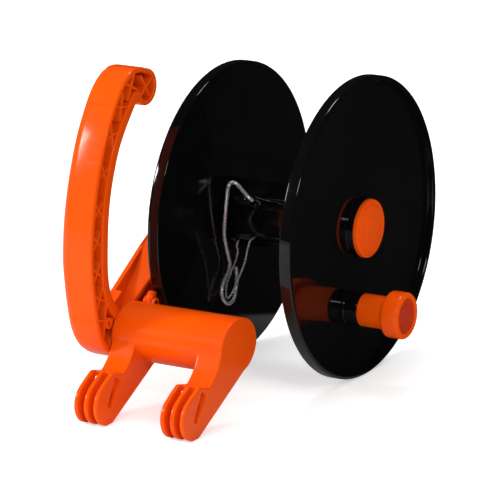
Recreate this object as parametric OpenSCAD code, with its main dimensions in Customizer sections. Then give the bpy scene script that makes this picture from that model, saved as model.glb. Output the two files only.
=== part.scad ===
// Hand-wound wire reel: a flanged spool that turns on an axle, held by a C-shaped handle
// frame, with a foot bridge whose two finned claws hook on to a fence wire.
// Millimetres. X runs along the axle towards the crank, Z is up, and the origin is at the
// middle of the footprint, on the surface that the reel stands on.

/* [Spool] */
// Radius of both flanges
flange_r = 110; // [105:1:115]
// Clear width between the flanges
spool_w = 98; // [90:1:98]
// Outer radius of the barrel
barrel_r = 24; // [22:0.5:30]
// Thickness of a flange disc
disc_t = 4; // [3:0.5:5]
// Width of the raised rim of a flange
rim_w = 9.5; // [7:0.5:9.5]

/* [Axle and hub] */
// Radius of the axle
axle_r = 5; // [4.5:0.1:5]
// Radius of the cap over the hub
cap_r = 21.5; // [21.5:0.1:22.5]

/* [Crank] */
// Distance from the axle to the crank knob
crank_r = 58.3; // [50:0.5:70]
// Radius of the knob's sleeve and of the stub it turns on
sleeve_r = 12; // [11:0.5:12.5]
// Radius of the knob's head
head_r = 17; // [16:0.5:20]

/* [Foot bridge] */
// Distance between the two legs
leg_pitch = 70; // [66:1:72]
// Width of a leg and its claw
leg_w = 19.2; // [18:0.2:20]
// Thickness of a claw's fin
fin_t = 3.4; // [3:0.1:4]

/* [Handle] */
// Width of the handle frame along the axle
handle_w = 28; // [24:1:30]
// Thickness of the grip's crossed ribs
rib_t = 2; // [1.6:0.1:2.4]

/* [Wire hook] */
// Radius of the hook's wire
hook_r = 1.4; // [1:0.1:1.6]
// Radius of the leader wire
leader_r = 0.8; // [0.6:0.1:1]

/* [Hidden] */
$fn = 96;

// Colours
orange = "#ff5a08";
black = "#101012";
zinc = "#b9bdc2";
nylon = "#e9e6da";

// Spool, from the axle's centre: half widths along X
face_x = spool_w / 2;
disc_x = face_x + disc_t;
rim_x = face_x + rim_w;
lip_t = 3.6;
barrel_wall = 3;
web_t = 4;
collar_r = 21;
collar_t = 3;
collar_x = disc_x + 6;
bush_r = 8;
bush_collar_r = 9.4;
bush_play = 0.05;
hub_screw_ring = 12.6;
hub_screw_r = 1.7;
hub_screw_head_r = 2.9;

// Handle frame and hub socket
side_x = -62;
back_x = side_x - handle_w;
back_t = 4;
hub_r = 20;
outer_wall = 3.6;
inner_wall = 8.4;
boss_r = 4.2;
frame_hole_r = 2.1;
boss_hole_r = 1.9;

// Axle ends
axle_head_r = 9;
axle_head_t = 4;
thread_r = 4;
axle_shoulder_x = disc_x + 1.65;
washer_t = 1.2;
nut_t = 4.5;

// Crank, on the axle's frame
crank_y = -14.5;
crank_z = -sqrt(crank_r * crank_r - crank_y * crank_y);
stub_x = 64;
knob_x = stub_x + 0.4;
head_x = 86;
knob_end_x = 100;
bolt_r = 4;
bolt_thread_r = 3;
knob_floor_x = 90.8;
cap_seat_x = 96.9;
end_cap_r = 12.4;

// Foot bridge
bridge_end_x = 28;
bridge_start_x = side_x;
tube_c = [-128.8, -59.2];
tube_a = 24.5;
tube_b = 20.2;
tube_wall = 3.2;
floor_z = -110;
screw_holes = [[-133, -62], [-116, -64]];
grip_boss = [-154.5, -48.3];

// Brake lever, on the bridge beside the left flange's rim
pivot = [-109, -43];
lever_x = -56.4;
lever_w = 5;
pin_r = 1.5;
ear_t = 2;

// Where the axle's centre goes: the footprint's middle, on the floor
x_min = back_x - axle_head_t;
y_min = -204;
origin = [-(knob_end_x + x_min) / 2, -(flange_r + y_min) / 2, flange_r];

// ---- shapes that several pieces use ----

function arc(c, r, a0, a1, n) =
    [for (i = [0:n]) c + r * [cos(a0 + (a1 - a0) * i / n), sin(a0 + (a1 - a0) * i / n)]];

// A smooth curve through the points of p, with n steps between each two
function spline(p, n) =
    let (last = len(p) - 1)
    [for (k = [0:last - 1]) for (i = [0:n - (k == last - 1 ? 0 : 1)])
        let (t = i / n,
            a = p[max(k - 1, 0)], b = p[k], c = p[k + 1], d = p[min(k + 2, last)])
        0.5 * (2 * b + (c - a) * t + (2 * a - 5 * b + 4 * c - d) * t * t
            + (3 * b - a - 3 * c + d) * t * t * t)];

function reversed(p) = [for (i = [len(p) - 1:-1:0]) p[i]];

// Extrudes a Y-Z outline from one X to another
module plate(x0, x1) {
    translate([x0, 0, 0]) rotate([90, 0, 90]) linear_extrude(x1 - x0) children();
}

// A round bar along X, centred on yz
module bar(x0, x1, r, yz = [0, 0]) {
    translate([x0, yz[0], yz[1]]) rotate([0, 90, 0]) cylinder(h = x1 - x0, r = r);
}

// Turns a profile of [radius, x] points about the axle's line
module turned(points) {
    rotate([0, 90, 0]) rotate_extrude() polygon(points);
}

module ring(x0, x1, r_out, r_in, yz = [0, 0]) {
    difference() {
        bar(x0, x1, r_out, yz);
        bar(x0 - 1, x1 + 1, r_in, yz);
    }
}

module hex_nut(x0, x1, across, bore, yz = [0, 0]) {
    difference() {
        translate([x0, yz[0], yz[1]]) rotate([0, 90, 0])
            cylinder(h = x1 - x0, r = across / sqrt(3), $fn = 6);
        bar(x0 - 1, x1 + 1, bore, yz);
    }
}

// A pan-head screw along X: the head's face is at x0, and it points along +X or -X
module screw(x0, len, r, head_r, head_t, yz, dir = 1) {
    translate([x0, yz[0], yz[1]]) rotate([0, 90 * dir, 0]) difference() {
        union() {
            cylinder(h = head_t, r = head_r);
            cylinder(h = len, r = r);
        }
        for (a = [0, 90]) rotate([0, 0, a])
            cube([head_r * 1.2, head_r * 0.25, head_t], center = true);
    }
}

// A wire along the points of path: rings of n sides, square to the path
function unit(v) = v / norm(v);
function along(p, i) = unit(p[min(i + 1, len(p) - 1)] - p[max(i - 1, 0)]);
module wire(path, r, n) {
    rings = [for (i = [0:len(path) - 1])
        let (t = along(path, i), s = unit(cross(t, [0.93, 0.29, 0.21])), u = cross(t, s))
        [for (j = [0:n - 1]) path[i] + r * (cos(360 * j / n) * s + sin(360 * j / n) * u)]];
    last = len(path) - 1;
    polyhedron(
        points = [for (ring = rings) each ring],
        faces = concat(
            [[for (j = [0:n - 1]) j]],
            [[for (j = [n - 1:-1:0]) last * n + j]],
            [for (i = [0:last - 1]) for (j = [0:n - 1])
                [i * n + j, (i + 1) * n + j, (i + 1) * n + (j + 1) % n, i * n + (j + 1) % n]]));
}

module placed() {
    translate(origin) children();
}

// ---- handle frame ----

// Paired points across the grip, from the top scroll down to the arm: [outer, inner]
grip = [
    [[-97.5, 123.3], [-103, 98.2]],
    [[-108, 126.2], [-109, 100.6]],
    [[-120, 125], [-113.5, 101.2]],
    [[-133.4, 115.8], [-120.8, 93.6]],
    [[-146.5, 98.6], [-130.2, 82.2]],
    [[-156.8, 80.4], [-138.5, 69]],
    [[-166.8, 54.5], [-146.9, 48]],
    [[-173.6, 27], [-151.7, 27]],
    [[-176.2, 0], [-153.7, 3]],
    [[-174.9, -19], [-153.7, -14]],
    [[-172, -37], [-150.5, -28]],
    [[-167.2, -54.5], [-144, -37.5]],
    [[-158, -68], [-136, -45]],
    [[-141.5, -77], [-124, -46.5]],
    [[-118, -80], [-109, -38.6]]];
grip_steps = 6;
grip_outer = spline([for (g = grip) g[0]], grip_steps);
grip_inner = spline([for (g = grip) g[1]], grip_steps);

// The grip's outline between two of its walls, from step a to step b
function grip_band(off_outer, off_inner, a, b) = concat(
    [for (i = [a:b]) grip_outer[i] + off_outer * unit(grip_inner[i] - grip_outer[i])],
    [for (i = [b:-1:a]) grip_inner[i] + off_inner * unit(grip_outer[i] - grip_inner[i])]);

scroll_c = [-99.2, 110.2];
scroll_r = 13.2;
scroll_wall = 3.8;
pocket_first = 4;
pocket_last = 72;

// The steps along the grip where two ribs cross
crossings = [13, 20, 27, 34, 40, 45, 51, 58, 65];
rib_tilt = 45;

module grip_ribs() {
    for (i = crossings) {
        d = grip_inner[i] - grip_outer[i];
        translate((grip_outer[i] + grip_inner[i] + (outer_wall - inner_wall) * unit(d)) / 2)
            for (tilt = [-rib_tilt, rib_tilt]) rotate(atan2(d[1], d[0]) + tilt)
                square([30, rib_t], center = true);
    }
    translate(scroll_c) for (a = [35, 125]) rotate(a)
        square([2 * scroll_r, rib_t], center = true);
}

// The hollow of the grip, which runs on into the scroll
module grip_pocket() difference() {
    union() {
        polygon(grip_band(outer_wall, inner_wall, pocket_first, pocket_last));
        translate(scroll_c) circle(r = scroll_r - scroll_wall);
    }
    grip_ribs();
}

// The arm's top line, its sloping band and its lower line, in Y and Z
arm_top = [[-109, -38.6], [-70.2, -14.8], [-9.6, 17.6]];
band_foot = [-112, -58.7];
arm_low = [[9, -17.9], [-118, -80]];

module arm_web() {
    polygon([[-124, -46.5], arm_top[0], arm_top[1], arm_top[2], [0, 0], arm_low[0], arm_low[1]]);
}

// A straight wall of thickness t under the line from a to b
module wall_under(a, b, t) {
    n = unit([b[1] - a[1], a[0] - b[0]]);
    polygon([a, b, b + t * n, a + t * n]);
}

module handle_frame() placed() color(orange) difference() {
    union() {
        difference() {
            union() {
                plate(back_x, side_x) polygon(grip_band(0, 0, 0, len(grip_outer) - 1));
                bar(back_x, side_x, scroll_r, scroll_c);
            }
            plate(back_x + back_t, side_x + 1) grip_pocket();
        }
        // screw bosses
        for (p = [grip_boss, screw_holes[0], screw_holes[1]])
            bar(back_x, side_x, boss_r, p);
        // arm: a web, a band above and a rib below
        plate(back_x, back_x + back_t) arm_web();
        difference() {
            plate(back_x, side_x) {
                wall_under(band_foot, arm_top[1], 4);
                wall_under(arm_top[1], arm_top[2], 4);
            }
            // the band's free edge runs out from its foot to the hub
            translate([0, 0, -120]) linear_extrude(160)
                polygon([[-82, -116], [side_x, -71.5], [side_x + 9, -71.5], [side_x + 9, -116]]);
        }
        plate(back_x, side_x) wall_under(arm_low[0] + [0, 4.5], arm_low[1] + [0, 4.5], 4);
        bar(back_x, side_x, hub_r);
        for (t = [0.3, 0.62]) plate(back_x, side_x - 4)
            polygon([
                arm_low[1] + t * (arm_low[0] - arm_low[1]) + [0, 3],
                arm_low[1] + t * (arm_low[0] - arm_low[1]) + [2.5, 3],
                arm_top[1] + (t - 0.25) * (arm_top[2] - arm_top[1]) + [2.5, -2],
                arm_top[1] + (t - 0.25) * (arm_top[2] - arm_top[1]) + [0, -2]]);
    }
    bar(back_x - 1, side_x + 1, axle_r + 0.02);
    for (p = screw_holes) bar(back_x - 1, side_x + 1, frame_hole_r, p);
    bar(back_x + 8, side_x + 1, boss_hole_r, grip_boss);
}

// ---- foot bridge ----

tube_outline = [for (a = [0:6:354]) tube_c + [tube_a * cos(a), tube_b * sin(a)]];

// A leg's outline: round the tube, down to the claw and back
leg_outline = concat(
    [for (a = [-43:6:113]) tube_c + [tube_a * cos(a), tube_b * sin(a)]],
    spline([[-140.6, -41.8], [-147.8, -48.8], [-153.4, -60], [-160, -71], [-168.3, -77.9]], 5),
    [[-181.6, -74.4]],
    spline([[-183, -74.8], [-192.2, -79.6], [-200.5, -85.5], [-204, -94], [-202.2, -102],
        [-197.5, -107.4], [-191.5, floor_z]], 4),
    [[-183.5, floor_z]]);

// Where the gaps between the fins are cut
gap_outline = [[-215, -66], [-182.4, -66], [-179.6, -79], [-176, -91], [-172.5, -104],
    [-169, -125], [-215, -125]];

// The slot for the fence wire: mouth down to a round end
slot_top = [-176, -80];
slot_end = [-187, -96.2];
slot_w = 7;
slot_end_r = 2.2;
module wire_slot() {
    along_slot = unit(slot_end - slot_top);
    side = [along_slot[1], -along_slot[0]];
    polygon([slot_top + side * slot_w / 2, slot_top - side * slot_w / 2,
        slot_end - side * slot_end_r, slot_end + side * slot_end_r]);
    translate(slot_end) circle(r = slot_end_r);
}

module leg(x0) {
    gap = (leg_w - 3 * fin_t) / 2;
    difference() {
        plate(x0, x0 + leg_w) polygon(leg_outline);
        for (i = [0, 1])
            plate(x0 + fin_t + i * (fin_t + gap), x0 + (i + 1) * (fin_t + gap))
                polygon(gap_outline);
        plate(x0 - 1, x0 + leg_w + 1) wire_slot();
    }
}

module foot_bridge() placed() color(orange) difference() {
    union() {
        difference() {
            plate(bridge_start_x, bridge_end_x) polygon(tube_outline);
            // hollow, open to the rear and below
            plate(bridge_start_x + 4, bridge_end_x - 3) {
                translate(tube_c) scale([tube_a - tube_wall, tube_b - tube_wall])
                    polygon(arc([0, 0], 1, 0, 354, 59));
                polygon([[-112, -70], [-134, -80], [-130, -90], [-98, -84]]);
            }
        }
        for (x0 = [bridge_end_x - leg_w, bridge_end_x - leg_w - leg_pitch]) leg(x0);
        // walls across the hollow
        for (x0 = [-20, 1]) plate(x0 - 16, x0 - 13.5)
            intersection() {
                polygon(tube_outline);
                translate(tube_c) square([60, 60], center = true);
            }
        // pillars for the frame screws
        for (p = screw_holes) bar(bridge_start_x, bridge_start_x + 18, boss_r, p);
        // ears for the brake lever's pin
        for (x0 = [lever_x - lever_w / 2 - ear_t - 0.3, lever_x + lever_w / 2 + 0.3])
            plate(x0, x0 + ear_t) {
                translate(pivot) circle(r = 3.2);
                polygon([pivot + [3.2, 0], pivot + [-3.2, 0], [-113.5, -50], [-107, -54]]);
            }
    }
    for (p = screw_holes) bar(bridge_start_x - 1, bridge_start_x + 15, 1.75, p);
    bar(lever_x - 8, lever_x + 8, pin_r + 0.01, pivot);
}

module frame_screws() placed() color(zinc)
    for (p = screw_holes) screw(back_x - 2.2, 42, 1.7, 4, 2.2, p);

// ---- axle ----

module axle() placed() color(zinc) {
    difference() {
        bar(back_x - axle_head_t, back_x, axle_head_r);
        for (a = [0:60:300]) rotate([a, 0, 0])
            translate([back_x - axle_head_t - 1, 8, -6]) cube([axle_head_t + 1.01, 6, 12]);
    }
    bar(back_x, axle_shoulder_x, axle_r);
    bar(axle_shoulder_x, axle_shoulder_x + washer_t + nut_t + 0.5, thread_r);
}

module axle_thrust_washer() placed() color(nylon)
    ring(side_x, side_x + 1.4, 11, axle_r + 0.02);

module axle_end_washer() placed() color(zinc)
    ring(axle_shoulder_x, axle_shoulder_x + washer_t, 9.2, thread_r + 0.05);

module axle_nut() placed() color(zinc)
    hex_nut(axle_shoulder_x + washer_t, axle_shoulder_x + washer_t + nut_t, 13, thread_r + 0.02);

// ---- brake lever ----

module brake_pin() placed() color(zinc)
    bar(lever_x - lever_w / 2 - ear_t - 0.3, lever_x + lever_w / 2 + ear_t + 0.3, pin_r, pivot);

module brake_lever() placed() color(orange) difference() {
    plate(lever_x - lever_w / 2, lever_x + lever_w / 2) {
        translate(pivot) circle(r = 3);
        polygon([pivot + [-3, 0], pivot + [3, 0], [-104.9, -38.5], [-108.4, -36.3], [-111.6, -38.6]]);
        translate([-106.9, -38]) circle(r = 2.2);
    }
    bar(lever_x - 8, lever_x + 8, pin_r + 0.05, pivot);
}

// ---- spool ----

// A flange's profile, from its bore out to the rounded lip, for the +X side
flange_profile = concat(
    [[bush_r + 0.02, face_x], [flange_r - 1, face_x], [flange_r, face_x + 1]],
    arc([flange_r - lip_t / 2, rim_x - lip_t / 2], lip_t / 2, 0, 180, 12),
    [[flange_r - lip_t - 0.6, disc_x + 0.8], [flange_r - lip_t - 1.4, disc_x]]);

module hub_screw_places() {
    for (a = [90, 210, 330]) rotate([a, 0, 0]) children();
}

module left_flange() placed() color(black) difference() {
    mirror([1, 0, 0]) turned(concat(flange_profile,
        [[18, disc_x], [18, collar_x], [bush_r + 0.02, collar_x]]));
    hub_screw_places() bar(-disc_x - 1, -face_x + 1, hub_screw_r + 0.3, [hub_screw_ring, 0]);
    hub_screw_places() bar(-collar_x - 1, -disc_x, hub_screw_head_r + 0.3, [hub_screw_ring, 0]);
}

module right_flange() placed() color(black) difference() {
    union() {
        turned(concat(flange_profile,
            [[collar_r, disc_x], [collar_r, collar_x], [collar_r - collar_t, collar_x],
            [collar_r - collar_t, disc_x], [bush_r + 0.02, disc_x]]));
        bar(face_x + 1, stub_x, sleeve_r, [crank_y, crank_z]);
    }
    hub_screw_places() bar(face_x - 1, disc_x + 1, hub_screw_r + 0.3, [hub_screw_ring, 0]);
    bar(face_x - 1, stub_x + 1, bolt_r + 0.02, [crank_y, crank_z]);
    bar(face_x - 1, face_x + 3, 7.6, [crank_y, crank_z]);
}

// Holes in the barrel's front: two for the leader, one where the hook's point parks
leader_holes = [[-24, -13.5], [-39, -18]];
park_hole = [-24.5, 14];

module barrel() placed() color(black) difference() {
    union() {
        ring(-face_x, face_x, barrel_r, barrel_r - barrel_wall);
        for (x0 = [-face_x, face_x - web_t])
            ring(x0, x0 + web_t, barrel_r - 1, bush_r + 0.02);
        hub_screw_places() for (x0 = [-face_x + web_t - 1, face_x - web_t - 9])
            bar(x0, x0 + 10, 3.8, [hub_screw_ring, 0]);
    }
    hub_screw_places() {
        bar(-face_x - 1, -face_x + 12, hub_screw_r + 0.02, [hub_screw_ring, 0]);
        bar(face_x - 12, face_x + 1, hub_screw_r + 0.02, [hub_screw_ring, 0]);
    }
    for (p = [leader_holes[0], leader_holes[1], park_hole])
        translate([p[0], -barrel_r - 1, p[1]]) rotate([-90, 0, 0])
            cylinder(h = barrel_r - 3, r = 2.6);
}

module left_bush() placed() color(nylon) mirror([1, 0, 0]) {
    ring(face_x - web_t - 2, collar_x, bush_r, axle_r + bush_play);
    ring(collar_x, collar_x + 1.5, bush_collar_r, axle_r + bush_play);
}

module right_bush() placed() color(nylon) {
    ring(face_x - web_t - 2, disc_x, bush_r, axle_r + bush_play);
    ring(disc_x, disc_x + 1.5, bush_collar_r, axle_r + bush_play);
}

module left_flange_screws() placed() color(zinc) hub_screw_places()
    screw(-disc_x - 2.2, 12, hub_screw_r, hub_screw_head_r, 2.2, [hub_screw_ring, 0]);

module right_flange_screws() placed() color(zinc) hub_screw_places()
    screw(disc_x + 2.2, 12, hub_screw_r, hub_screw_head_r, 2.2, [hub_screw_ring, 0], -1);

module hub_cap() placed() color(orange) turned([
    [0, 64.4], [8.2, 64.4], [8.8, 63.6], [16.8, 63], [17.3, 62.3], [18.5, 62.2], [19, 62.7],
    [cap_r - 1.1, 62.2], [cap_r, 61.2], [cap_r, collar_x], [collar_r - collar_t - 0.05, collar_x],
    [collar_r - collar_t - 0.05, disc_x + 1], [15.75, disc_x + 1], [15.75, 61.2], [0, 61.6]]);

// ---- crank ----

module at_crank() {
    translate([0, crank_y, crank_z]) children();
}

module crank_bolt() placed() color(zinc) at_crank() difference() {
    union() {
        bar(face_x + 0.3, face_x + 3, 7.4);
        bar(face_x + 3, knob_floor_x + 0.2, bolt_r);
        bar(knob_floor_x + 0.2, knob_floor_x + 5.9, bolt_thread_r);
    }
    translate([face_x, 0, 0]) rotate([0, 90, 0]) cylinder(h = 2, r = 2.9, $fn = 6);
}

module crank_washer() placed() color(zinc) at_crank()
    ring(knob_floor_x + 0.2, knob_floor_x + 1.4, 7.5, bolt_thread_r + 0.05);

module crank_nut() placed() color(zinc) at_crank()
    hex_nut(knob_floor_x + 1.4, knob_floor_x + 5.4, 10, bolt_thread_r + 0.02);

module crank_knob() placed() color(orange) at_crank() turned(concat(
    [[bolt_r + 0.08, knob_x], [sleeve_r - 0.8, knob_x], [sleeve_r, knob_x + 0.8],
        [sleeve_r, head_x - 0.8], [sleeve_r + 1, head_x]],
    arc([head_r - 2, head_x + 2], 2, -90, 0, 6),
    arc([head_r - 2.6, knob_end_x - 2.6], 2.6, 0, 90, 8),
    [[end_cap_r + 0.9, knob_end_x], [end_cap_r + 0.1, knob_end_x - 0.8],
        [end_cap_r + 0.1, cap_seat_x], [9, cap_seat_x], [9, knob_floor_x],
        [bolt_r + 0.08, knob_floor_x]]));

module knob_end_cap() placed() color("#d93a05") at_crank() turned([
    [0, cap_seat_x], [end_cap_r, cap_seat_x], [end_cap_r, 98.4], [end_cap_r - 0.5, 98.9],
    [9.4, 98.9], [9, 98.5], [8.4, 98.5], [8, 98.9], [0, 99]]);

// ---- hook and leader ----

// The hook's wire: its point, over the bend, down the shaft and round the long eye
hook_path = concat(
    spline([[-24.3, -18.6, 14], [-27.4, -20.4, 17], [-32, -20.6, 21.4], [-37, -20.9, 26],
        [-40, -23.4, 26.9], [-41, -26, 23.6], [-42, -26.6, 14.3], [-43.4, -26.6, 2],
        [-45, -25.4, -11.9], [-45.2, -21.8, -24], [-45, -18, -35]], 3),
    spline([[-45, -19.4, -40.5], [-45.2, -26, -47], [-44.8, -30.4, -53.5], [-43, -31.2, -59.4],
        [-40.8, -28, -63.2], [-39.2, -23.4, -61], [-39, -20, -54.5], [-40, -16.8, -48],
        [-41.6, -14.4, -42.5], [-42.4, -13.4, -39]], 3));

// The leader: out of its hole, down through the eye and back into the barrel
leader_path = spline([[-24, -18, -13.5], [-24.8, -22.4, -14.8], [-27.2, -22.8, -22],
    [-31, -20.8, -33], [-35, -22.2, -44], [-38.2, -25.4, -54], [-41.4, -27, -59.2],
    [-44.6, -24.4, -58], [-46.4, -20.6, -51.5], [-46, -15, -43.5], [-44, -11.5, -35],
    [-41, -13.4, -26.5], [-39.3, -17.6, -22], [-39, -15, -18]], 4);

module line_hook() placed() color(zinc) wire(hook_path, hook_r, 10);
module leader_wire() placed() color(zinc) wire(leader_path, leader_r, 8);

handle_frame();
foot_bridge();
frame_screws();
axle();
axle_thrust_washer();
axle_end_washer();
axle_nut();
brake_pin();
brake_lever();
left_flange();
barrel();
right_flange();
left_bush();
right_bush();
left_flange_screws();
right_flange_screws();
hub_cap();
crank_bolt();
crank_washer();
crank_nut();
crank_knob();
knob_end_cap();
line_hook();
leader_wire();
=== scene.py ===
import math
import bmesh
import bpy
from mathutils import Matrix, Vector


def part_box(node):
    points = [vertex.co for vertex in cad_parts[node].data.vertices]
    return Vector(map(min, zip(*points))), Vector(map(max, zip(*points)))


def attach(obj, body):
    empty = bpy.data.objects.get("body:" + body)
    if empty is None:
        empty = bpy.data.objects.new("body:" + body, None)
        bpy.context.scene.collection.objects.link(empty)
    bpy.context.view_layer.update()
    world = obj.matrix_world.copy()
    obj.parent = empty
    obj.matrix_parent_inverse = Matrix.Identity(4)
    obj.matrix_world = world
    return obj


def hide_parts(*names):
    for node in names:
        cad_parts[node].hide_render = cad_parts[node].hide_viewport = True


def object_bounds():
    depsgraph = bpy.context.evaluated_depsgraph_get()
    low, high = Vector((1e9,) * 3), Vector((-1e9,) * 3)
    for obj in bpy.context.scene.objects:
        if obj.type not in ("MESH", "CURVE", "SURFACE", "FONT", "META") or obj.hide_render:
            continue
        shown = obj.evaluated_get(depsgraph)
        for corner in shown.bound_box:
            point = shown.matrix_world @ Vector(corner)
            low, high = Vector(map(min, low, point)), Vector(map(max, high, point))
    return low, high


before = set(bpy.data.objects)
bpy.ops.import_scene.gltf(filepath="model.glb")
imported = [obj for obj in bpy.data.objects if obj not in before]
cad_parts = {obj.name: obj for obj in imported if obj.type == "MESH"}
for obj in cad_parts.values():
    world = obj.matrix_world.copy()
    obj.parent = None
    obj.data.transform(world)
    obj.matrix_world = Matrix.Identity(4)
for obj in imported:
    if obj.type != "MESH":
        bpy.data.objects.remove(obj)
cad_low, cad_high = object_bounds()

# ---- Camera, floor and studio lights ----
# The reel stands on a wide white table in a photo tent. The camera looks down a little from the
# crank's side, with a long lens, so that the flanges show as narrow ovals.
MM = 0.001
VIEW_AZIMUTH = math.radians(30.47)
VIEW_HEIGHT = math.radians(15.25)
VIEW_ROLL = math.radians(-0.53)
VIEW_DISTANCE = 2.4397
AIM = Vector((-0.0411, 0.0465, 0.0812))

towards = Vector((
    -math.sin(VIEW_AZIMUTH) * math.cos(VIEW_HEIGHT),
    math.cos(VIEW_AZIMUTH) * math.cos(VIEW_HEIGHT),
    -math.sin(VIEW_HEIGHT),
))
lens = bpy.data.cameras.new("camera")
lens.lens = 239.4
lens.clip_start = 0.1
lens.clip_end = 60.0
camera = bpy.data.objects.new("camera", lens)
bpy.context.scene.collection.objects.link(camera)
turn = towards.to_track_quat("-Z", "Y").to_matrix() @ Matrix.Rotation(VIEW_ROLL, 3, "Z")
camera.matrix_world = Matrix.Translation(AIM - towards * VIEW_DISTANCE) @ turn.to_4x4()
bpy.context.scene.camera = camera


def add(tree, kind, links=(), **values):
    """A node with its properties set, and (input, socket or value) pairs filled in."""
    node = tree.nodes.new(kind)
    for key, value in values.items():
        setattr(node, key, value)
    for key, value in links:
        if isinstance(value, bpy.types.NodeSocket):
            tree.links.new(value, node.inputs[key])
        else:
            node.inputs[key].default_value = value
    return node


HALF_FLOOR = 6.0
FLOOR_GAP = 0.0002
floor_mesh = bpy.data.meshes.new("floor")
floor_mesh.from_pydata(
    [(x, y, 0.0) for x, y in ((-1, -1), (1, -1), (1, 1), (-1, 1))], [], [(0, 1, 2, 3)])
floor_mesh.transform(Matrix.Scale(HALF_FLOOR, 4))
floor = bpy.data.objects.new("floor", floor_mesh)
bpy.context.scene.collection.objects.link(floor)
floor.location.z = cad_low.z - FLOOR_GAP
floor_paint = bpy.data.materials.new("floor_white")
floor_paint.use_nodes = True
paint = floor_paint.node_tree
floor_shader = paint.nodes["Principled BSDF"]
floor_shader.inputs["Roughness"].default_value = 0.9
floor_shader.inputs["Specular IOR Level"].default_value = 0.0

# Shiny pieces mirror only the white board close under the reel, and a dark room past its
# slanting edge. The camera sees the whole floor white, with only faint shadows.
BOARD_EDGE = (0.096, 0.108)
BOARD_SLANT = 1.59 * math.tan(VIEW_AZIMUTH)
BOARD_WHITE, ROOM_DARK = 0.5, 0.015
FLOOR_WHITE, FLOOR_LIFT = 0.93, 0.48
floor_place = add(paint, "ShaderNodeSeparateXYZ",
                  ((0, add(paint, "ShaderNodeTexCoord").outputs["Object"]),))
slanted = add(paint, "ShaderNodeMath", (
    (0, floor_place.outputs["Y"]), (1, BOARD_SLANT), (2, floor_place.outputs["X"])),
    operation="MULTIPLY_ADD")
board = add(paint, "ShaderNodeMapRange", (
    ("Value", slanted.outputs[0]), ("From Min", BOARD_EDGE[0]), ("From Max", BOARD_EDGE[1]),
    ("To Min", BOARD_WHITE), ("To Max", ROOM_DARK)))
rays = add(paint, "ShaderNodeLightPath")
seen = add(paint, "ShaderNodeMix", (
    (0, rays.outputs["Is Glossy Ray"]), (2, FLOOR_WHITE), (3, board.outputs[0]))).outputs[0]
grey = add(paint, "ShaderNodeCombineColor", ((0, seen), (1, seen), (2, seen)))
lit = add(paint, "ShaderNodeMath", ((0, rays.outputs["Is Camera Ray"]), (1, FLOOR_LIFT)),
          operation="MULTIPLY")
paint.links.new(grey.outputs[0], floor_shader.inputs["Base Color"])
floor_shader.inputs["Emission Color"].default_value = (1, 1, 1, 1)
paint.links.new(lit.outputs[0], floor_shader.inputs["Emission Strength"])
floor_mesh.materials.append(floor_paint)

# A soft white tent, brighter on the handle's side, that polished faces mirror as a dark room
TENT_BRIGHT = (-0.55, -0.72, 0.42)
TENT_DIM_SIDE, TENT_BRIGHT_SIDE = 0.3, 1.1
TENT_MIRRORED = 0.98
world = bpy.data.worlds.new("studio")
bpy.context.scene.world = world
world.use_nodes = True
tent = world.node_tree
facing = add(tent, "ShaderNodeVectorMath", (
    (0, add(tent, "ShaderNodeTexCoord").outputs["Generated"]), (1, TENT_BRIGHT)),
    operation="DOT_PRODUCT")
glow = add(tent, "ShaderNodeMapRange", (
    ("Value", facing.outputs["Value"]), ("From Min", -0.6),
    ("To Min", TENT_DIM_SIDE), ("To Max", TENT_BRIGHT_SIDE)))
mirrored = add(tent, "ShaderNodeMath", (
    (0, add(tent, "ShaderNodeLightPath").outputs["Is Glossy Ray"]), (1, -TENT_MIRRORED), (2, 1.0)),
    operation="MULTIPLY_ADD")
strength = add(tent, "ShaderNodeMath", ((0, glow.outputs[0]), (1, mirrored.outputs[0])),
               operation="MULTIPLY")
tent.nodes["Background"].inputs["Color"].default_value = (1, 1, 1, 1)
tent.links.new(strength.outputs[0], tent.nodes["Background"].inputs["Strength"])
bpy.context.scene.view_settings.view_transform = "Standard"


def soft_light(name, place, size, power):
    """A square soft box aimed at the middle of the reel."""
    lamp = bpy.data.lights.new(name, "AREA")
    lamp.shape = "SQUARE"
    lamp.size = size
    lamp.energy = power
    box = bpy.data.objects.new(name, lamp)
    bpy.context.scene.collection.objects.link(box)
    box.location = place
    box.rotation_mode = "QUATERNION"
    box.rotation_quaternion = (AIM - Vector(place)).to_track_quat("-Z", "Y")


soft_light("key_box", (-1.5, -1.3, 1.1), 0.42, 19)
soft_light("side_box", (1.7, -1.5, 1.5), 0.4, 9)
soft_light("top_box", (-0.2, 0.6, 2.1), 0.5, 9)

# ---- Handle frame ----
# One orange injection moulding: the C-shaped grip with a curled top, ribbed inside its open
# side, and the arm that carries the axle in a round socket. Screwed to the foot bridge.
barrel_low, barrel_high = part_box("barrel")
AXLE = (barrel_low + barrel_high) / 2

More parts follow.
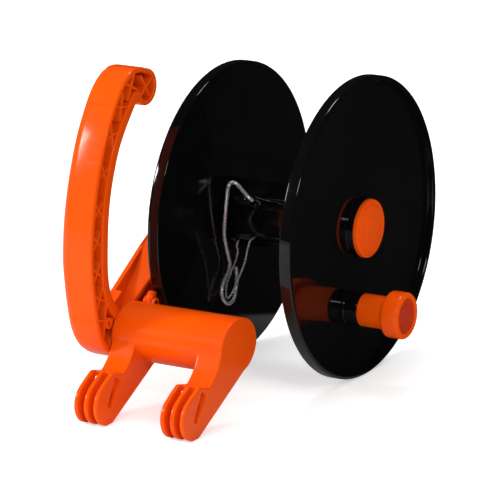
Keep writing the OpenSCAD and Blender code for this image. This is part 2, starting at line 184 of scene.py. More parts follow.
SIDE = -62.0
BACK = -90.0
BACK_WALL = 4.0
OUTER_WALL = 3.6
INNER_WALL = 8.4
GRIP_ROUND = 9.5
EDGE = 1.8
RIB = 1.9
ARM_WALL = 4.0
HUB, AXLE_HOLE = 20.0, 5.05
BOSS, BOSS_HOLE = 4.2, 1.9
SCROLL = (-99.2, 110.2)
SCROLL_R = 13.2
SCROLL_WALL = 3.8
SCREW_PLACES = ((-133.0, -62.0), (-116.0, -64.0))
GRIP_BOSS = (-154.5, -48.3)
GRIP = (
    ((-97.5, 123.3), (-103, 98.2)),
    ((-108, 126.2), (-109, 100.6)),
    ((-120, 125), (-113.5, 101.2)),
    ((-133.4, 115.8), (-120.8, 93.6)),
    ((-146.5, 98.6), (-130.2, 82.2)),
    ((-156.8, 80.4), (-138.5, 69)),
    ((-166.8, 54.5), (-146.9, 48)),
    ((-173.6, 27), (-151.7, 27)),
    ((-176.2, 0), (-153.7, 3)),
    ((-174.9, -19), (-153.7, -14)),
    ((-172, -37), (-150.5, -28)),
    ((-167.2, -54.5), (-144, -37.5)),
    ((-158, -68), (-136, -45)),
    ((-141.5, -77), (-124, -46.5)),
    ((-118, -80), (-109, -38.6)),
)
ARM_TOP = ((-109, -38.6), (-70.2, -14.8), (-9.6, 17.6))
ARM_LOW = ((9, -17.9), (-118, -80))
BAND_FOOT = (-112, -58.7)
BAND_FREE = -80.5


def smooth_line(points, steps):
    """A curve through all the points, with this many steps between each two."""
    pts = [Vector(p) for p in points]
    made = []
    for k in range(len(pts) - 1):
        a, b, c, d = pts[max(k - 1, 0)], pts[k], pts[k + 1], pts[min(k + 2, len(pts) - 1)]
        for i in range(steps):
            t = i / steps
            made.append(0.5 * (2 * b + (c - a) * t + (2 * a - 5 * b + 4 * c - d) * t ** 2
                               + (3 * b - a - 3 * c + d) * t ** 3))
    return made + [pts[-1]]


def circle(centre, r, n=64):
    """An outline of n points."""
    return [(centre[0] + r * math.cos(2 * math.pi * i / n),
             centre[1] + r * math.sin(2 * math.pi * i / n)) for i in range(n)]


def slab(outlines, x0, x1, edge=0.5):
    """A moulded plate between two X planes with rounded edges: an outline, then its holes."""
    curve = bpy.data.curves.new("slab", "CURVE")
    curve.dimensions = "2D"
    curve.fill_mode = "BOTH"
    curve.extrude = (x1 - x0) / 2 - edge
    curve.bevel_depth = edge
    curve.bevel_resolution = 2
    curve.offset = -edge
    for outline in outlines:
        line = curve.splines.new("POLY")
        line.points.add(len(outline) - 1)
        for point, (y, z) in zip(line.points, outline):
            point.co = (y, z, 0, 1)
        line.use_cyclic_u = True
    holder = bpy.data.objects.new("slab", curve)
    bpy.context.scene.collection.objects.link(holder)
    bpy.context.view_layer.update()
    mesh = bpy.data.meshes.new_from_object(holder)
    bpy.data.objects.remove(holder)
    bpy.data.curves.remove(curve)
    mesh.transform(Matrix(((0, 0, 1, (x0 + x1) / 2), (1, 0, 0, 0), (0, 1, 0, 0), (0, 0, 0, 1))))
    return mesh


def rounded(corners):
    """A profile with its corners rounded: each corner is (a, b) or (a, b, radius)."""
    made = []
    for i, corner in enumerate(corners):
        here = Vector(corner[:2])
        if len(corner) == 2 or i in (0, len(corners) - 1):
            made.append(here)
            continue
        before = (Vector(corners[i - 1][:2]) - here).normalized()
        after = (Vector(corners[i + 1][:2]) - here).normalized()
        half = before.angle(after) / 2
        back = corner[2] / math.tan(half)
        centre = here + (before + after).normalized() * corner[2] / math.sin(half)
        first, last = here + before * back - centre, here + after * back - centre
        sweep = first.angle_signed(last)
        steps = 6
        for k in range(steps + 1):
            made.append(centre + Matrix.Rotation(-sweep * k / steps, 2) @ first)
    return made


def lathe(profile, centre=(0, 0), turns=128, closed=True):
    """Turns (radius, x) points about a line along X."""
    bm = bmesh.new()
    rings = []
    for r, x in profile:
        if r < 1e-6:
            rings.append([bm.verts.new((x, centre[0], centre[1]))])
            continue
        rings.append([
            bm.verts.new((x, centre[0] + r * math.cos(2 * math.pi * i / turns),
                          centre[1] + r * math.sin(2 * math.pi * i / turns)))
            for i in range(turns)])
    pairs = list(zip(rings, rings[1:]))
    if closed:
        pairs.append((rings[-1], rings[0]))
    for near, far in pairs:
        for i in range(turns):
            j = (i + 1) % turns
            corners = [near[i % len(near)], near[j % len(near)],
                       far[j % len(far)], far[i % len(far)]]
            corners = list(dict.fromkeys(corners))
            if len(corners) > 2:
                bm.faces.new(corners)
    mesh = bpy.data.meshes.new("lathe")
    bm.to_mesh(mesh)
    bm.free()
    return mesh


WELD = 0.002


def joined(name, meshes):
    """One mesh of several, with shared corners joined and all faces turned outwards."""
    bm = bmesh.new()
    for mesh in meshes:
        bm.from_mesh(mesh)
        bpy.data.meshes.remove(mesh)
    bmesh.ops.remove_doubles(bm, verts=bm.verts, dist=WELD)
    bmesh.ops.recalc_face_normals(bm, faces=bm.faces)
    mesh = bpy.data.meshes.new(name)
    bm.to_mesh(mesh)
    bm.free()
    return mesh


def moulding(name, meshes, material, sharp=38.0):
    """Makes one piece, in place, of meshes made in millimetres about the axle."""
    mesh = joined(name, meshes)
    mesh.transform(Matrix.Translation(AXLE) @ Matrix.Scale(MM, 4))
    mesh.shade_smooth()
    mesh.set_sharp_from_angle(angle=math.radians(sharp))
    piece = bpy.data.objects.new(name, mesh)
    bpy.context.scene.collection.objects.link(piece)
    mesh.materials.append(material)
    return piece


def fit(piece, body, slot, *nodes):
    """Puts a piece on its body, in place of the plain nodes that it stands for."""
    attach(piece, body)
    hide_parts(*nodes)


def group(name, inputs, outputs):
    """An empty shader group: inputs are (name, kind, default) and outputs are (name, kind)."""
    tree = bpy.data.node_groups.new(name, "ShaderNodeTree")
    for label, kind, value in inputs:
        socket = tree.interface.new_socket(label, in_out="INPUT", socket_type=kind)
        socket.default_value = value
    for label, kind in outputs:
        tree.interface.new_socket(label, in_out="OUTPUT", socket_type=kind)
    return tree, tree.nodes.new("NodeGroupInput"), tree.nodes.new("NodeGroupOutput")


def ramp(tree, source, low, high):
    """Runs from 0 at low to 1 at high."""
    return add(tree, "ShaderNodeMapRange",
               ((0, source), (1, low), (2, high), (3, 0.0), (4, 1.0))).outputs[0]


# Worn edges: where the surface bends outwards the colour is paler and the gloss is gone
edge_wear, wear_in, wear_out = group(
    "edge_wear", (("Amount", "NodeSocketFloat", 0.5), ("Patch Size", "NodeSocketFloat", 60.0)),
    (("Mask", "NodeSocketFloat"),))
wear_place = add(edge_wear, "ShaderNodeTexCoord").outputs["Object"]
wear_bend = ramp(
    edge_wear, add(edge_wear, "ShaderNodeNewGeometry").outputs["Pointiness"], 0.52, 0.6)
wear_noise = add(edge_wear, "ShaderNodeTexNoise", (
    ("Vector", wear_place), ("Scale", wear_in.outputs["Patch Size"]), ("Detail", 5.0)))
wear_patch = ramp(edge_wear, wear_noise.outputs["Fac"], 0.42, 0.66)
wear_both = add(edge_wear, "ShaderNodeMath", ((0, wear_bend), (1, wear_patch)),
                operation="MULTIPLY")
wear_some = add(edge_wear, "ShaderNodeMath",
                ((0, wear_both.outputs[0]), (1, wear_in.outputs["Amount"])), operation="MULTIPLY")
edge_wear.links.new(wear_some.outputs[0], wear_out.inputs["Mask"])

# Moulded skin: slow flow marks, a faint orange peel and fine hairline scratches
mould_skin, skin_in, skin_out = group(
    "mould_skin", (("Scratches", "NodeSocketFloat", 0.5),),
    (("Flow", "NodeSocketFloat"), ("Scratch", "NodeSocketFloat"), ("Peel", "NodeSocketFloat")))
skin_place = add(mould_skin, "ShaderNodeTexCoord").outputs["Object"]
flow = add(mould_skin, "ShaderNodeTexNoise",
           (("Vector", skin_place), ("Scale", 14.0), ("Detail", 3.0), ("Distortion", 0.8)))
mould_skin.links.new(flow.outputs["Fac"], skin_out.inputs["Flow"])
peel = add(mould_skin, "ShaderNodeTexNoise",
           (("Vector", skin_place), ("Scale", 420.0), ("Detail", 2.0)))
mould_skin.links.new(peel.outputs["Fac"], skin_out.inputs["Peel"])
hair = []
for tilt, stretch in ((0.5, (900.0, 40.0, 60.0)), (-0.9, (50.0, 700.0, 40.0))):
    turned = add(mould_skin, "ShaderNodeMapping", (
        ("Vector", skin_place), ("Rotation", (tilt, 0.4 * tilt, 1.3 * tilt)), ("Scale", stretch)))
    lines = add(mould_skin, "ShaderNodeTexNoise",
                (("Vector", turned.outputs[0]), ("Scale", 1.0), ("Detail", 1.0)))
    hair.append(ramp(mould_skin, lines.outputs["Fac"], 0.68, 0.76))
either = add(mould_skin, "ShaderNodeMath", ((0, hair[0]), (1, hair[1])), operation="MAXIMUM")
some = add(mould_skin, "ShaderNodeMath",
           ((0, either.outputs[0]), (1, skin_in.outputs["Scratches"])), operation="MULTIPLY")
mould_skin.links.new(some.outputs[0], skin_out.inputs["Scratch"])


def use_group(tree, made, **values):
    """Places a shader group in a material with its own values."""
    node = tree.nodes.new("ShaderNodeGroup")
    node.node_tree = made
    for key, value in values.items():
        node.inputs[key.replace("_", " ")].default_value = value
    return node


def mix(tree, factor, first, second):
    """Mixes two colours, each a socket or an (r, g, b)."""
    node = tree.nodes.new("ShaderNodeMix")
    node.data_type = "RGBA"
    for key, value in ((0, factor), (6, first), (7, second)):
        if isinstance(value, bpy.types.NodeSocket):
            tree.links.new(value, node.inputs[key])
        else:
            node.inputs[key].default_value = value if key == 0 else (*value, 1.0)
    return node.outputs[2]


def moulded_plastic(name, colour, deep, pale, rough, wear=0.5, scratches=0.5, peel=0.06,
                    shine=0.5):
    """A glossy moulded plastic: colour with deeper flow marks, paler worn edges, scratches."""
    material = bpy.data.materials.new(name)
    material.use_nodes = True
    tree = material.node_tree
    shader = tree.nodes["Principled BSDF"]
    skin = use_group(tree, mould_skin, Scratches=scratches)
    worn = use_group(tree, edge_wear, Amount=wear).outputs["Mask"]
    body = mix(tree, ramp(tree, skin.outputs["Flow"], 0.35, 0.7), colour, deep)
    tree.links.new(mix(tree, worn, body, pale), shader.inputs["Base Color"])
    shader.inputs["Specular IOR Level"].default_value = shine
    dull = add(tree, "ShaderNodeMath",
               ((0, skin.outputs["Scratch"]), (1, worn)), operation="MAXIMUM").outputs[0]
    gloss = add(tree, "ShaderNodeMapRange", (
        (0, dull), (1, 0.0), (2, 1.0), (3, rough), (4, min(rough + 0.3, 0.9))))
    slow = add(tree, "ShaderNodeMapRange", (
        (0, skin.outputs["Flow"]), (1, 0.3), (2, 0.7), (3, -0.03), (4, 0.03)))
    both = add(tree, "ShaderNodeMath", ((0, gloss.outputs[0]), (1, slow.outputs[0])))
    tree.links.new(both.outputs[0], shader.inputs["Roughness"])
    lift = add(tree, "ShaderNodeMath", (
        (0, skin.outputs["Scratch"]), (1, -0.5), (2, skin.outputs["Peel"])),
        operation="MULTIPLY_ADD")
    bump = add(tree, "ShaderNodeBump", (
        ("Strength", peel), ("Distance", 0.0002), ("Height", lift.outputs[0])))
    tree.links.new(bump.outputs["Normal"], shader.inputs["Normal"])
    return material


orange = moulded_plastic("orange_moulded", (0.92, 0.096, 0.002), (0.87, 0.078, 0.0015),
                         (0.96, 0.14, 0.012), 0.15, wear=0.25, scratches=0.3, shine=0.22)

GRIP_STEPS = 12
outer = smooth_line([g[0] for g in GRIP], GRIP_STEPS)
inner = smooth_line([g[1] for g in GRIP], GRIP_STEPS)


def swept(stations):
    """Joins equal rings of (x, y, z) points, one after another, and closes both ends."""
    bm = bmesh.new()
    rings = [[bm.verts.new(p) for p in ring] for ring in stations]
    for near, far in zip(rings, rings[1:]):
        for i in range(len(near)):
            j = (i + 1) % len(near)
            bm.faces.new((near[i], near[j], far[j], far[i]))
    bm.faces.new(rings[0])
    bm.faces.new(reversed(rings[-1]))
    mesh = bpy.data.meshes.new("swept")
    bm.to_mesh(mesh)
    bm.free()
    return mesh


def ring_at(start, across, profile):
    """Stands an (x, distance inwards) profile at a point of the outer line."""
    return [(x, start.x + across.x * s, start.y + across.y * s) for x, s in profile]


def wall_under(start, end, thick):
    """A wall's outline below the line from start to end."""
    start, end = Vector(start), Vector(end)
    run = (end - start).normalized()
    down = Vector((run.y, -run.x)) * thick
    if down.y > 0:
        down = -down
    return [start, end, end + down, start + down]


grip_across = [(i - o).normalized() for o, i in zip(outer, inner)]

# The grip is an open channel, with a solid foot. The foot's upper corner steps back behind the
# arm's band. Parts that overlap start at slightly different depths, so no two faces coincide.
CHANNEL_START, CHANNEL_END = 10, 147
FOOT_START, STEP_START = 143, 150
STEP_DEPTH = 14
channel = []
for k in range(CHANNEL_START, CHANNEL_END):
    w = (inner[k] - outer[k]).length
    channel.append(ring_at(outer[k], grip_across[k], rounded([
        (SIDE, 2.2), (SIDE, 0, EDGE), (BACK, 0, GRIP_ROUND), (BACK, w, 2.2), (SIDE, w, EDGE),
        (SIDE, w - INNER_WALL, 1.2), (BACK + BACK_WALL, w - INNER_WALL, 1.5),
        (BACK + BACK_WALL, OUTER_WALL, 6), (SIDE, OUTER_WALL, 0.8), (SIDE, 2.3)])))
frame_parts = [swept(channel)]
foot = []
for k in range(FOOT_START, len(outer)):
    w = (inner[k] - outer[k]).length
    late = max(0, k - STEP_START) / (len(outer) - 1 - STEP_START)
    drop = min(1, late * 4)
    step = (SIDE - 1.6) * (1 - drop) + BAND_FREE * drop
    stay = w - 1.4 - STEP_DEPTH * late
    foot.append(ring_at(outer[k], grip_across[k], rounded([
        (SIDE - 0.1, w / 2), (SIDE - 0.1, 0.02, EDGE), (BACK + 0.05, 0.02, GRIP_ROUND),
        (BACK + 0.05, w - 0.02, 2.2), (step, w - 0.02, 0.6), (step, stay, 0.6),
        (SIDE - 0.1, stay, 0.6), (SIDE - 0.1, w / 2 + 0.1)])))
frame_parts.append(swept(foot))

# The outer wall runs on over the top and round the scroll
CURL_FROM = 16
CURL_FIRST, CURL_STEP, CURL_COUNT = 76, 8, 28
curl = [outer[k] for k in range(CURL_FROM, 0, -1)]
curl += [Vector(SCROLL) + Vector((math.cos(t), math.sin(t))) * SCROLL_R
         for t in (math.radians(CURL_FIRST - CURL_STEP * i) for i in range(CURL_COUNT))]
curl_rings = []
for k, here in enumerate(curl):
    way = curl[min(k + 1, len(curl) - 1)] - curl[max(k - 1, 0)]
    inwards = Vector((way.y, -way.x)).normalized()
    curl_rings.append(ring_at(here, inwards, rounded([
        (SIDE - 0.05, 2.2), (SIDE - 0.05, 0.03, EDGE), (BACK + 0.05, 0.03, 7.5),
        (BACK + 0.05, 8.4),
        (BACK + BACK_WALL, 8.4), (BACK + BACK_WALL, SCROLL_WALL, 1.5),
        (SIDE - 0.05, SCROLL_WALL, 0.8), (SIDE - 0.05, 2.3)])))
frame_parts.append(swept(curl_rings))
frame_parts.append(slab([circle(SCROLL, 9.0)], BACK + 0.1, BACK + BACK_WALL + 0.1, 0.3))


def cross_rib(middle, angle, reach, back, front, thick=RIB):
    """A thin rib across a hollow."""
    run = Vector((math.cos(angle), math.sin(angle))) * reach
    side = Vector((-run.y, run.x)).normalized() * thick / 2
    return slab([[middle - run - side, middle + run - side, middle + run + side,
                  middle - run + side]], back, front, 0.35)


CROSSINGS = (26, 40, 54, 68, 80, 90, 102, 116, 130)
RIB_TILT = 45
RIB_BACK = BACK + 6.5
for k in CROSSINGS:
    way = inner[k] - outer[k]
    middle = (outer[k] + inner[k] + grip_across[k] * (OUTER_WALL - INNER_WALL)) / 2
    reach = (way.length - OUTER_WALL - INNER_WALL) / 2 / math.cos(math.radians(RIB_TILT)) + 1.4
    for tilt, drop in ((-RIB_TILT, 0.5), (RIB_TILT, 0.7)):
        angle = math.atan2(way.y, way.x) + math.radians(tilt)
        frame_parts.append(cross_rib(middle, angle, reach, RIB_BACK + drop, SIDE - drop))
        frame_parts.append(cross_rib(
            middle, angle, reach * 0.45, BACK + 1.6, BACK + 9 + drop, RIB - 0.3))
for turn_deg, drop in ((35, 1.0), (125, 1.2)):
    frame_parts.append(cross_rib(
        Vector(SCROLL), math.radians(turn_deg), SCROLL_R - 2.4, RIB_BACK + drop, SIDE - drop))
for place in (GRIP_BOSS, *SCREW_PLACES):
    frame_parts.append(slab(
        [circle(place, BOSS, 40), circle(place, BOSS_HOLE, 32)], BACK + 1, SIDE, 0.4))

# The arm: a web, a wall above and below it, the hub, a sloping band and two cross ribs
web = [(-124, -46.5), ARM_TOP[0], ARM_TOP[1], ARM_TOP[2], (0, 0), *ARM_LOW]
frame_parts.append(slab([web], BACK + 0.15, BACK + BACK_WALL, 0.6))
frame_parts.append(slab(
    [wall_under(ARM_TOP[1], ARM_TOP[2], ARM_WALL)], BACK + 0.3, SIDE - 0.2, 0.7))
frame_parts.append(slab([wall_under(*[(y, z + 4.5) for y, z in ARM_LOW], ARM_WALL)],
                        BACK + 0.3, SIDE - 0.3, 0.7))
frame_parts.append(lathe(rounded([
    (AXLE_HOLE, BACK), (HUB, BACK, 1.2), (HUB, SIDE, 1.2), (AXLE_HOLE, SIDE)])))


def sloping_band():
    """The band that rises from the foot to the arm, its free edge running out to the hub."""
    foot, top = Vector(BAND_FOOT), Vector(ARM_TOP[1])
    down = Vector((top.y - foot.y, foot.x - top.x)).normalized() * ARM_WALL
    bm = bmesh.new()
    ends = []
    for place, free in ((foot, BAND_FREE), (top, SIDE - 0.1)):
        ends.append([bm.verts.new((x, p.x, p.y)) for x, p in (
            (BACK + 0.45, place), (free, place), (free, place + down),
            (BACK + 0.45, place + down))])
    for i in range(4):
        j = (i + 1) % 4
        bm.faces.new((ends[0][i], ends[0][j], ends[1][j], ends[1][i]))
    bm.faces.new(ends[0])
    bm.faces.new(reversed(ends[1]))
    bmesh.ops.bevel(bm, geom=bm.edges[:], offset=0.7, segments=3, affect="EDGES")
    mesh = bpy.data.meshes.new("band")
    bm.to_mesh(mesh)
    bm.free()
    return mesh


frame_parts.append(sloping_band())
low_way = Vector(ARM_LOW[0]) - Vector(ARM_LOW[1])
top_way = Vector(ARM_TOP[2]) - Vector(ARM_TOP[1])
ARM_RIB = Vector((2.5, 0))
for t in (0.3, 0.62):
    low = Vector(ARM_LOW[1]) + low_way * t + Vector((0, 3))
    high = Vector(ARM_TOP[1]) + top_way * (t - 0.25) - Vector((0, 2))
    frame_parts.append(slab([[low, low + ARM_RIB, high + ARM_RIB, high]],
                            BACK + 1, SIDE - 4, 0.4))
handle = moulding("handle_moulding", frame_parts, orange)
fit(handle, "frame", "orange_plastic", "handle_frame")

# ---- Foot bridge ----
# One orange moulding: a cross tube, hollow and open to the rear, with two legs. Each leg ends in
# a claw of three fins with a slot for the fence wire, and all inner corners are filleted. Two
# small ears by the left flange hold the brake lever's pin.
BRIDGE_END = 28.0
TUBE = (-128.8, -59.2)
TUBE_A, TUBE_B, TUBE_WALL = 24.5, 20.2, 3.2
LEG_W, FIN, LEG_PITCH = 19.2, 3.4, 70.0
PARTITIONS, PARTITION_W = (-36, -15), 2.5
FLOOR = -110.0
LEG_FRONT = ((-140.6, -41.8), (-147.8, -48.8), (-153.4, -60), (-160, -71), (-168.3, -77.9))
CLAW_NOSE = ((-183, -74.8), (-192.2, -79.6), (-200.5, -85.5), (-204, -94), (-202.2, -102),
             (-197.5, -107.4), (-191.5, FLOOR))
GAP = ((-215, -66), (-182.4, -66), (-179.6, -79), (-176, -91), (-172.5, -104), (-169, -125),
       (-215, -125))
SLOT_TOP, SLOT_END = Vector((-176, -80)), Vector((-187, -96.2))
SLOT_HALF, SLOT_END_R = 3.5, 2.2
EAR, EAR_R, EAR_W, EARS = (-109, -43), 3.2, 2.0, (-61.2, -53.6)
EAR_ROOT = ((-105.8, -43), (-112.2, -43), (-113.5, -50), (-107, -54))
FILLET_VOXEL, FILLET_ROUNDS = 0.6, 5


def oval(a, b, first, last, step=4):
    """A stretch of an oval about the tube's middle, between two angles in degrees."""
    return [(TUBE[0] + a * math.cos(math.radians(t)), TUBE[1] + b * math.sin(math.radians(t)))
            for t in range(first, last + 1, step)]


def solid(meshes):
    """One object of overlapping closed meshes, still in millimetres about the axle."""
    made = bpy.data.objects.new("solid", joined("solid", meshes))
    bpy.context.scene.collection.objects.link(made)
    return made


def shaped(made):
    """Applies an object's modifiers, and gives back the mesh."""
    bpy.context.view_layer.update()
    graph = bpy.context.evaluated_depsgraph_get()
    mesh = bpy.data.meshes.new_from_object(made.evaluated_get(graph))
    bpy.data.objects.remove(made)
    return mesh


def cut(mesh, cutters):
    """Takes the cutters out of a closed mesh."""
    made = solid([mesh])
    tool = solid(cutters)
    saw = made.modifiers.new("cut", "BOOLEAN")
    saw.operation = "DIFFERENCE"
    saw.solver = "EXACT"
    saw.use_self = True
    saw.object = tool
    result = shaped(made)
    bpy.data.objects.remove(tool)
    return result


def filleted(meshes, voxel, rounds):
    """Melts overlapping solids into one skin, and eases its corners as a mould does."""
    made = solid(meshes)
    melt = made.modifiers.new("melt", "REMESH")
    melt.mode = "VOXEL"
    melt.voxel_size = voxel
    melt.use_smooth_shade = True
    ease = made.modifiers.new("ease", "SMOOTH")
    ease.factor = 0.5
    ease.iterations = rounds
    return shaped(made)


slot_way = (SLOT_END - SLOT_TOP).normalized()
slot_side = Vector((slot_way.y, -slot_way.x))
slot_outline = [SLOT_TOP - slot_side * SLOT_HALF, SLOT_TOP + slot_side * SLOT_HALF]
slot_outline += [
    SLOT_END + (slot_side * math.cos(t) + slot_way * math.sin(t)) * SLOT_END_R
    for t in (math.pi * i / 12 for i in range(13))]
leg_outline = (oval(TUBE_A, TUBE_B, -43, 113) + smooth_line(LEG_FRONT, 5)[:-1]
               + [LEG_FRONT[-1], (-181.6, -74.4)] + smooth_line(CLAW_NOSE, 5) + [(-183.5, FLOOR)])
bridge_parts = [
    slab([oval(TUBE_A, TUBE_B, -38, 250)
          + list(reversed(oval(TUBE_A - TUBE_WALL, TUBE_B - TUBE_WALL, -38, 250)))],
         SIDE + 2, BRIDGE_END - 1, 0.4),
    slab([oval(TUBE_A, TUBE_B, 0, 356)], SIDE, SIDE + 4, 0.5),
    slab([oval(TUBE_A, TUBE_B, 0, 356)], BRIDGE_END - 3, BRIDGE_END, 0.5),
]
for x0 in PARTITIONS:
    bridge_parts.append(slab(
        [oval(TUBE_A - 1, TUBE_B - 1, 0, 356)], x0, x0 + PARTITION_W, 0.3))
for place in SCREW_PLACES:
    bridge_parts.append(slab([circle(place, BOSS, 32)], SIDE + 1, SIDE + 18, 0.5))
fin_gap = (LEG_W - 3 * FIN) / 2
for x0 in (BRIDGE_END - LEG_W, BRIDGE_END - LEG_W - LEG_PITCH):
    leg = slab([leg_outline], x0, x0 + LEG_W, 0.5)
    tools = [slab([slot_outline], x0 - 2, x0 + LEG_W + 2, 0.01)]
    for i in range(2):
        start = x0 + FIN + i * (FIN + fin_gap)
        tools.append(slab([GAP], start, start + fin_gap, 0.01))
    bridge_parts.append(cut(leg, tools))
ears = []
for x0 in EARS:
    ears.append(slab([circle(EAR, EAR_R, 40)], x0, x0 + EAR_W, 0.3))
    ears.append(slab([EAR_ROOT], x0 + 0.03, x0 + EAR_W - 0.03, 0.3))
bridge_skin = filleted(bridge_parts, FILLET_VOXEL, FILLET_ROUNDS)
bridge = moulding("bridge_moulding", [bridge_skin, *ears], orange, 60)
fit(bridge, "frame", "orange_plastic", "foot_bridge")

# ---- Frame screws, axle and its washers ----
# Zinc-plated steel: two pan-head screws hold the handle to the bridge, and the axle is a bolt
# with its head against the arm and its nut under the hub cap. The thrust washer is nylon.
plated_marks, marks_in, marks_out = group(
    "plated_marks", (("Size", "NodeSocketFloat", 300.0),),
    (("Cloud", "NodeSocketFloat"), ("Grit", "NodeSocketFloat")))
marks_place = add(plated_marks, "ShaderNodeTexCoord").outputs["Object"]
cloud = add(plated_marks, "ShaderNodeTexNoise",
            (("Vector", marks_place), ("Scale", marks_in.outputs["Size"]), ("Detail", 4.0)))
grit = add(plated_marks, "ShaderNodeTexNoise",
           (("Vector", marks_place), ("Scale", 2600.0), ("Detail", 2.0)))
plated_marks.links.new(cloud.outputs["Fac"], marks_out.inputs["Cloud"])
plated_marks.links.new(grit.outputs["Fac"], marks_out.inputs["Grit"])


def plated_metal(name, bright, dull, shine, size, metal=1.0):
    """A plated steel: cloudy patches of this size, each with its own gloss, and a fine grit."""
    material = bpy.data.materials.new(name)
    material.use_nodes = True
    tree = material.node_tree
    shader = tree.nodes["Principled BSDF"]
    shader.inputs["Metallic"].default_value = metal
    marks = use_group(tree, plated_marks, Size=size)
    cloudy = ramp(tree, marks.outputs["Cloud"], 0.35, 0.65)
    tree.links.new(mix(tree, cloudy, bright, dull), shader.inputs["Base Color"])
    rough = add(tree, "ShaderNodeMapRange", (
        (0, marks.outputs["Cloud"]), (1, 0.3), (2, 0.7), (3, shine), (4, shine + 0.16)))
    tree.links.new(rough.outputs[0], shader.inputs["Roughness"])
    bump = add(tree, "ShaderNodeBump", (
        ("Strength", 0.25), ("Distance", 0.00005), ("Height", marks.outputs["Grit"])))
    tree.links.new(bump.outputs["Normal"], shader.inputs["Normal"])
    return material


zinc = plated_metal("zinc_plate", (0.66, 0.67, 0.69), (0.5, 0.51, 0.5), 0.26, 300.0)


def dress(node, material, sharp=30.0):
    """Gives a plain node its finish, with its true edges kept sharp."""
    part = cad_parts[node]
    part.data.materials.clear()
    part.data.materials.append(material)
    weld = part.modifiers.new("weld", "WELD")
    weld.merge_threshold = 1e-6
    part.data.shade_smooth()
    part.data.set_sharp_from_angle(angle=math.radians(sharp))


nylon = moulded_plastic("nylon_natural", (0.72, 0.69, 0.6), (0.62, 0.58, 0.48),
                        (0.8, 0.78, 0.7), 0.45, wear=0.3)
for node in ("frame_screws", "axle", "axle_end_washer", "axle_nut"):
    dress(node, zinc)
dress("axle_thrust_washer", nylon)

# ---- Brake lever and pin ----
# A small orange pawl that tips on a steel pin between two ears of the bridge, and rubs on the
# left flange's rim to stop the wire from running off.
dress("brake_pin", zinc)
dress("brake_lever", orange)

# ---- Flanges ----
# Two polished black mouldings. Each is a thin disc with a raised, rounded rim standing outwards.
# The left one has a boss for its bush, and the right one a collar for the cap and the crank stub.
FACE, DISC = 49.0, 53.0
RIM = 58.5
FLANGE = 110.0
LIP = 3.6
COLLAR, COLLAR_X = 21.0, 59.0
BUSH = 8.02
SLEEVE = 12.0
STUB = 64.0
CRANK = (-14.5, -56.47)
gloss_black = moulded_plastic(
    "black_polished", (0.0022, 0.0022, 0.0024), (0.0032, 0.0032, 0.0034),
    (0.012, 0.012, 0.013), 0.06, wear=0.4, scratches=0.2, peel=0.02)


def flange_rim():
    """A flange's profile from its bore's inner end, out round the rim and back to the disc."""
    return [(BUSH, FACE), (FLANGE, FACE, 1.0), (FLANGE, RIM, 1.79), (FLANGE - LIP, RIM, 1.79),
            (FLANGE - LIP - 1.0, DISC, 1.2)]


left_profile = rounded(flange_rim() + [
    (18, DISC, 0.8), (18, COLLAR_X, 0.5), (BUSH, COLLAR_X)])
left = lathe([(r, -x) for r, x in left_profile], turns=192)
left_disc = moulding("left_flange_moulding", [left], gloss_black)
fit(left_disc, "spool", "black_plastic", "left_flange")

right_profile = rounded(flange_rim() + [
    (COLLAR, DISC, 1.0), (COLLAR, COLLAR_X, 0.5), (COLLAR - 3, COLLAR_X, 0.3),
    (COLLAR - 3, DISC), (BUSH, DISC)])
stub_profile = rounded([
    (4.05, FACE + 0.5), (SLEEVE + 2.2, FACE + 0.5), (SLEEVE + 2.2, DISC + 0.1),
    (SLEEVE, DISC + 0.1, 1.6), (SLEEVE, STUB, 0.6), (4.05, STUB)])
right_disc = moulding(
    "right_flange_moulding",
    [lathe(right_profile, turns=192), lathe(stub_profile, CRANK, 96)], gloss_black)
fit(right_disc, "spool", "black_plastic", "right_flange")

# ---- Barrel, bushes and flange screws ----
# A black hollow core between the flanges, with holes for the leader and for the hook's point,
# turning on two nylon bushes. Three zinc-plated screws hold each flange to it.
dress("barrel", gloss_black)
dress("left_bush", nylon)
dress("right_bush", nylon)
dress("left_flange_screws", zinc)
dress("right_flange_screws", zinc)

# ---- Hub cap ----
# An orange push-in cap over the axle's nut. Its face has a groove near the edge and a raised
# disc in the middle.
CAP = 21.5
cap_profile = rounded([
    (0, 64.3), (8.4, 64.4, 0.5), (9.0, 63.5, 0.5), (16.6, 63.1, 0.4), (17.3, 62.2, 0.4),
    (18.4, 62.1, 0.4), (19.1, 62.8, 0.4), (CAP - 0.4, 62.1, 1.2), (CAP, COLLAR_X + 0.05, 0.3),
    (17.95, COLLAR_X + 0.05), (17.95, DISC + 1), (15.75, DISC + 1), (15.75, 61.2), (0, 61.6)])
cap = moulding("cap_moulding", [lathe(cap_profile, closed=False)], orange)
fit(cap, "spool", "orange_plastic", "hub_cap")

# ---- Crank knob, its end cap and bolt ----
# The knob is an orange moulding that turns on a zinc-plated shoulder bolt. A darker orange disc
# closes its end over the nut.
KNOB_START, HEAD_START, KNOB_END = 64.4, 86.0, 100.0
HEAD = 17.0
END_CAP = 12.4
for node in ("crank_bolt", "crank_washer", "crank_nut"):
    dress(node, zinc)
knob_profile = rounded([
    (4.08, KNOB_START), (SLEEVE, KNOB_START, 0.8), (SLEEVE, HEAD_START - 0.6, 0.8),
    (SLEEVE + 1.2, HEAD_START, 0.5), (HEAD, HEAD_START, 2.0), (HEAD, KNOB_END, 3.0),
    (END_CAP + 1.2, KNOB_END, 0.6), (END_CAP + 0.1, KNOB_END - 1.2, 0.3), (END_CAP + 0.1, 96.9),
    (9, 96.9), (9, 90.8), (4.08, 90.8)])
knob = moulding("knob_moulding", [lathe(knob_profile, CRANK, 96)], orange)
fit(knob, "knob", "orange_plastic", "crank_knob")

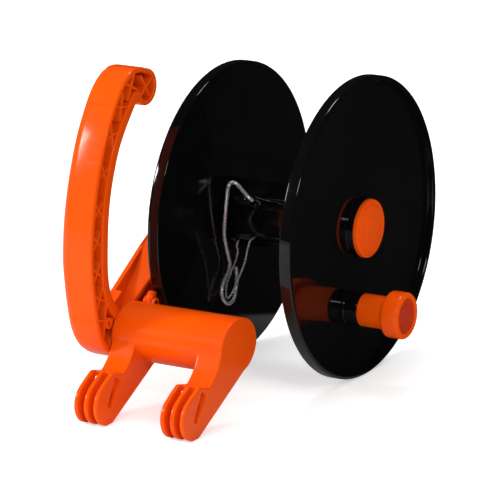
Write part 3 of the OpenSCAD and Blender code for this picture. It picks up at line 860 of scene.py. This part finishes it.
deep_orange = moulded_plastic("deep_orange_moulded", (0.6, 0.035, 0.002), (0.52, 0.028, 0.002),
                              (0.8, 0.1, 0.02), 0.3)
end_profile = rounded([
    (0, 96.9), (END_CAP, 96.9, 0.2), (END_CAP, 98.9, 0.5), (9.4, 98.9, 0.3), (9.0, 98.4, 0.2),
    (8.2, 98.4, 0.2), (7.8, 98.9, 0.3), (0, 99)])
end_cap = moulding(
    "end_cap_moulding", [lathe(end_profile, CRANK, 96, closed=False)], deep_orange)
fit(end_cap, "knob", "dark_orange_plastic", "knob_end_cap")

# ---- Wire hook and leader ----
# The hook is one length of thick galvanised wire, bent over at the top and closed into a long
# eye. A thin leader of three twisted steel strands ties it to the barrel.
galvanised = plated_metal(
    "galvanised_wire", (0.82, 0.83, 0.84), (0.6, 0.61, 0.63), 0.16, 700.0, 0.75)
HOOK_R = 1.4
FIRST_SIDE = Vector((0.93, 0.29, 0.21))
HOOK_SHANK = (
    (-24.3, -18.6, 14), (-27.4, -20.4, 17), (-32, -20.6, 21.4), (-37, -20.9, 26),
    (-40, -23.4, 26.9), (-41, -26, 23.6), (-42, -26.6, 14.3), (-43.4, -26.6, 2),
    (-45, -25.4, -11.9), (-45.2, -21.8, -24), (-45, -18, -35),
)
HOOK_EYE = (
    (-45, -19.4, -40.5), (-45.2, -26, -47), (-44.8, -30.4, -53.5), (-43, -31.2, -59.4),
    (-40.8, -28, -63.2), (-39.2, -23.4, -61), (-39, -20, -54.5), (-40, -16.8, -48),
    (-41.6, -14.4, -42.5), (-42.4, -13.4, -39),
)


def framed(path):
    """Each point of a path, with the path's direction and one side of it that never twists."""
    side = FIRST_SIDE
    made = []
    for k, here in enumerate(path):
        way = (path[min(k + 1, len(path) - 1)] - path[max(k - 1, 0)]).normalized()
        side = (side - way * side.dot(way)).normalized()
        made.append((here, way, side))
    return made


def wire_mesh(path, r, sides, end_round):
    """A round wire along a path, with its two cut ends slightly rounded."""
    stations = []
    last = len(path) - 1
    for k, (here, way, side) in enumerate(framed(path)):
        up = way.cross(side)
        ends = [(0, r)]
        if k == 0:
            ends = [(0, r - end_round), (end_round, r)]
        if k == last:
            ends = [(-end_round, r), (0, r - end_round)]
        for shift, size in ends:
            stations.append([
                here + way * shift + (side * math.cos(t) + up * math.sin(t)) * size
                for t in (2 * math.pi * i / sides for i in range(sides))])
    return swept(stations)


hook_line = smooth_line(HOOK_SHANK, 8) + smooth_line(HOOK_EYE, 8)
hook = moulding("hook_wire", [wire_mesh(hook_line, HOOK_R, 20, 0.25)], galvanised, 50)
fit(hook, "spool", "galvanised_wire", "line_hook")

LEADER_R = 0.8
LEADER = (
    (-24, -18, -13.5), (-24.8, -22.4, -14.8), (-27.2, -22.8, -22), (-31, -20.8, -33),
    (-35, -22.2, -44), (-38.2, -25.4, -54), (-41.4, -27, -59.2), (-44.6, -24.4, -58),
    (-46.4, -20.6, -51.5), (-46, -15, -43.5), (-44, -11.5, -35), (-41, -13.4, -26.5),
    (-39.3, -17.6, -22), (-39, -15, -18),
)
STRANDS, STRAND_R, TWISTS = 3, 0.39, 26
leader_line = smooth_line(LEADER, 16)
strands = []
for n in range(STRANDS):
    wound = []
    for k, (here, way, side) in enumerate(framed(leader_line)):
        turn_at = 2 * math.pi * (n / STRANDS + TWISTS * k / len(leader_line))
        wound.append(here + (side * math.cos(turn_at) + way.cross(side) * math.sin(turn_at))
                     * (LEADER_R - STRAND_R))
    strands.append(wire_mesh(wound, STRAND_R, 8, 0.08))
leader = moulding("leader_strand", strands, galvanised, 50)
fit(leader, "spool", "galvanised_wire", "leader_wire")
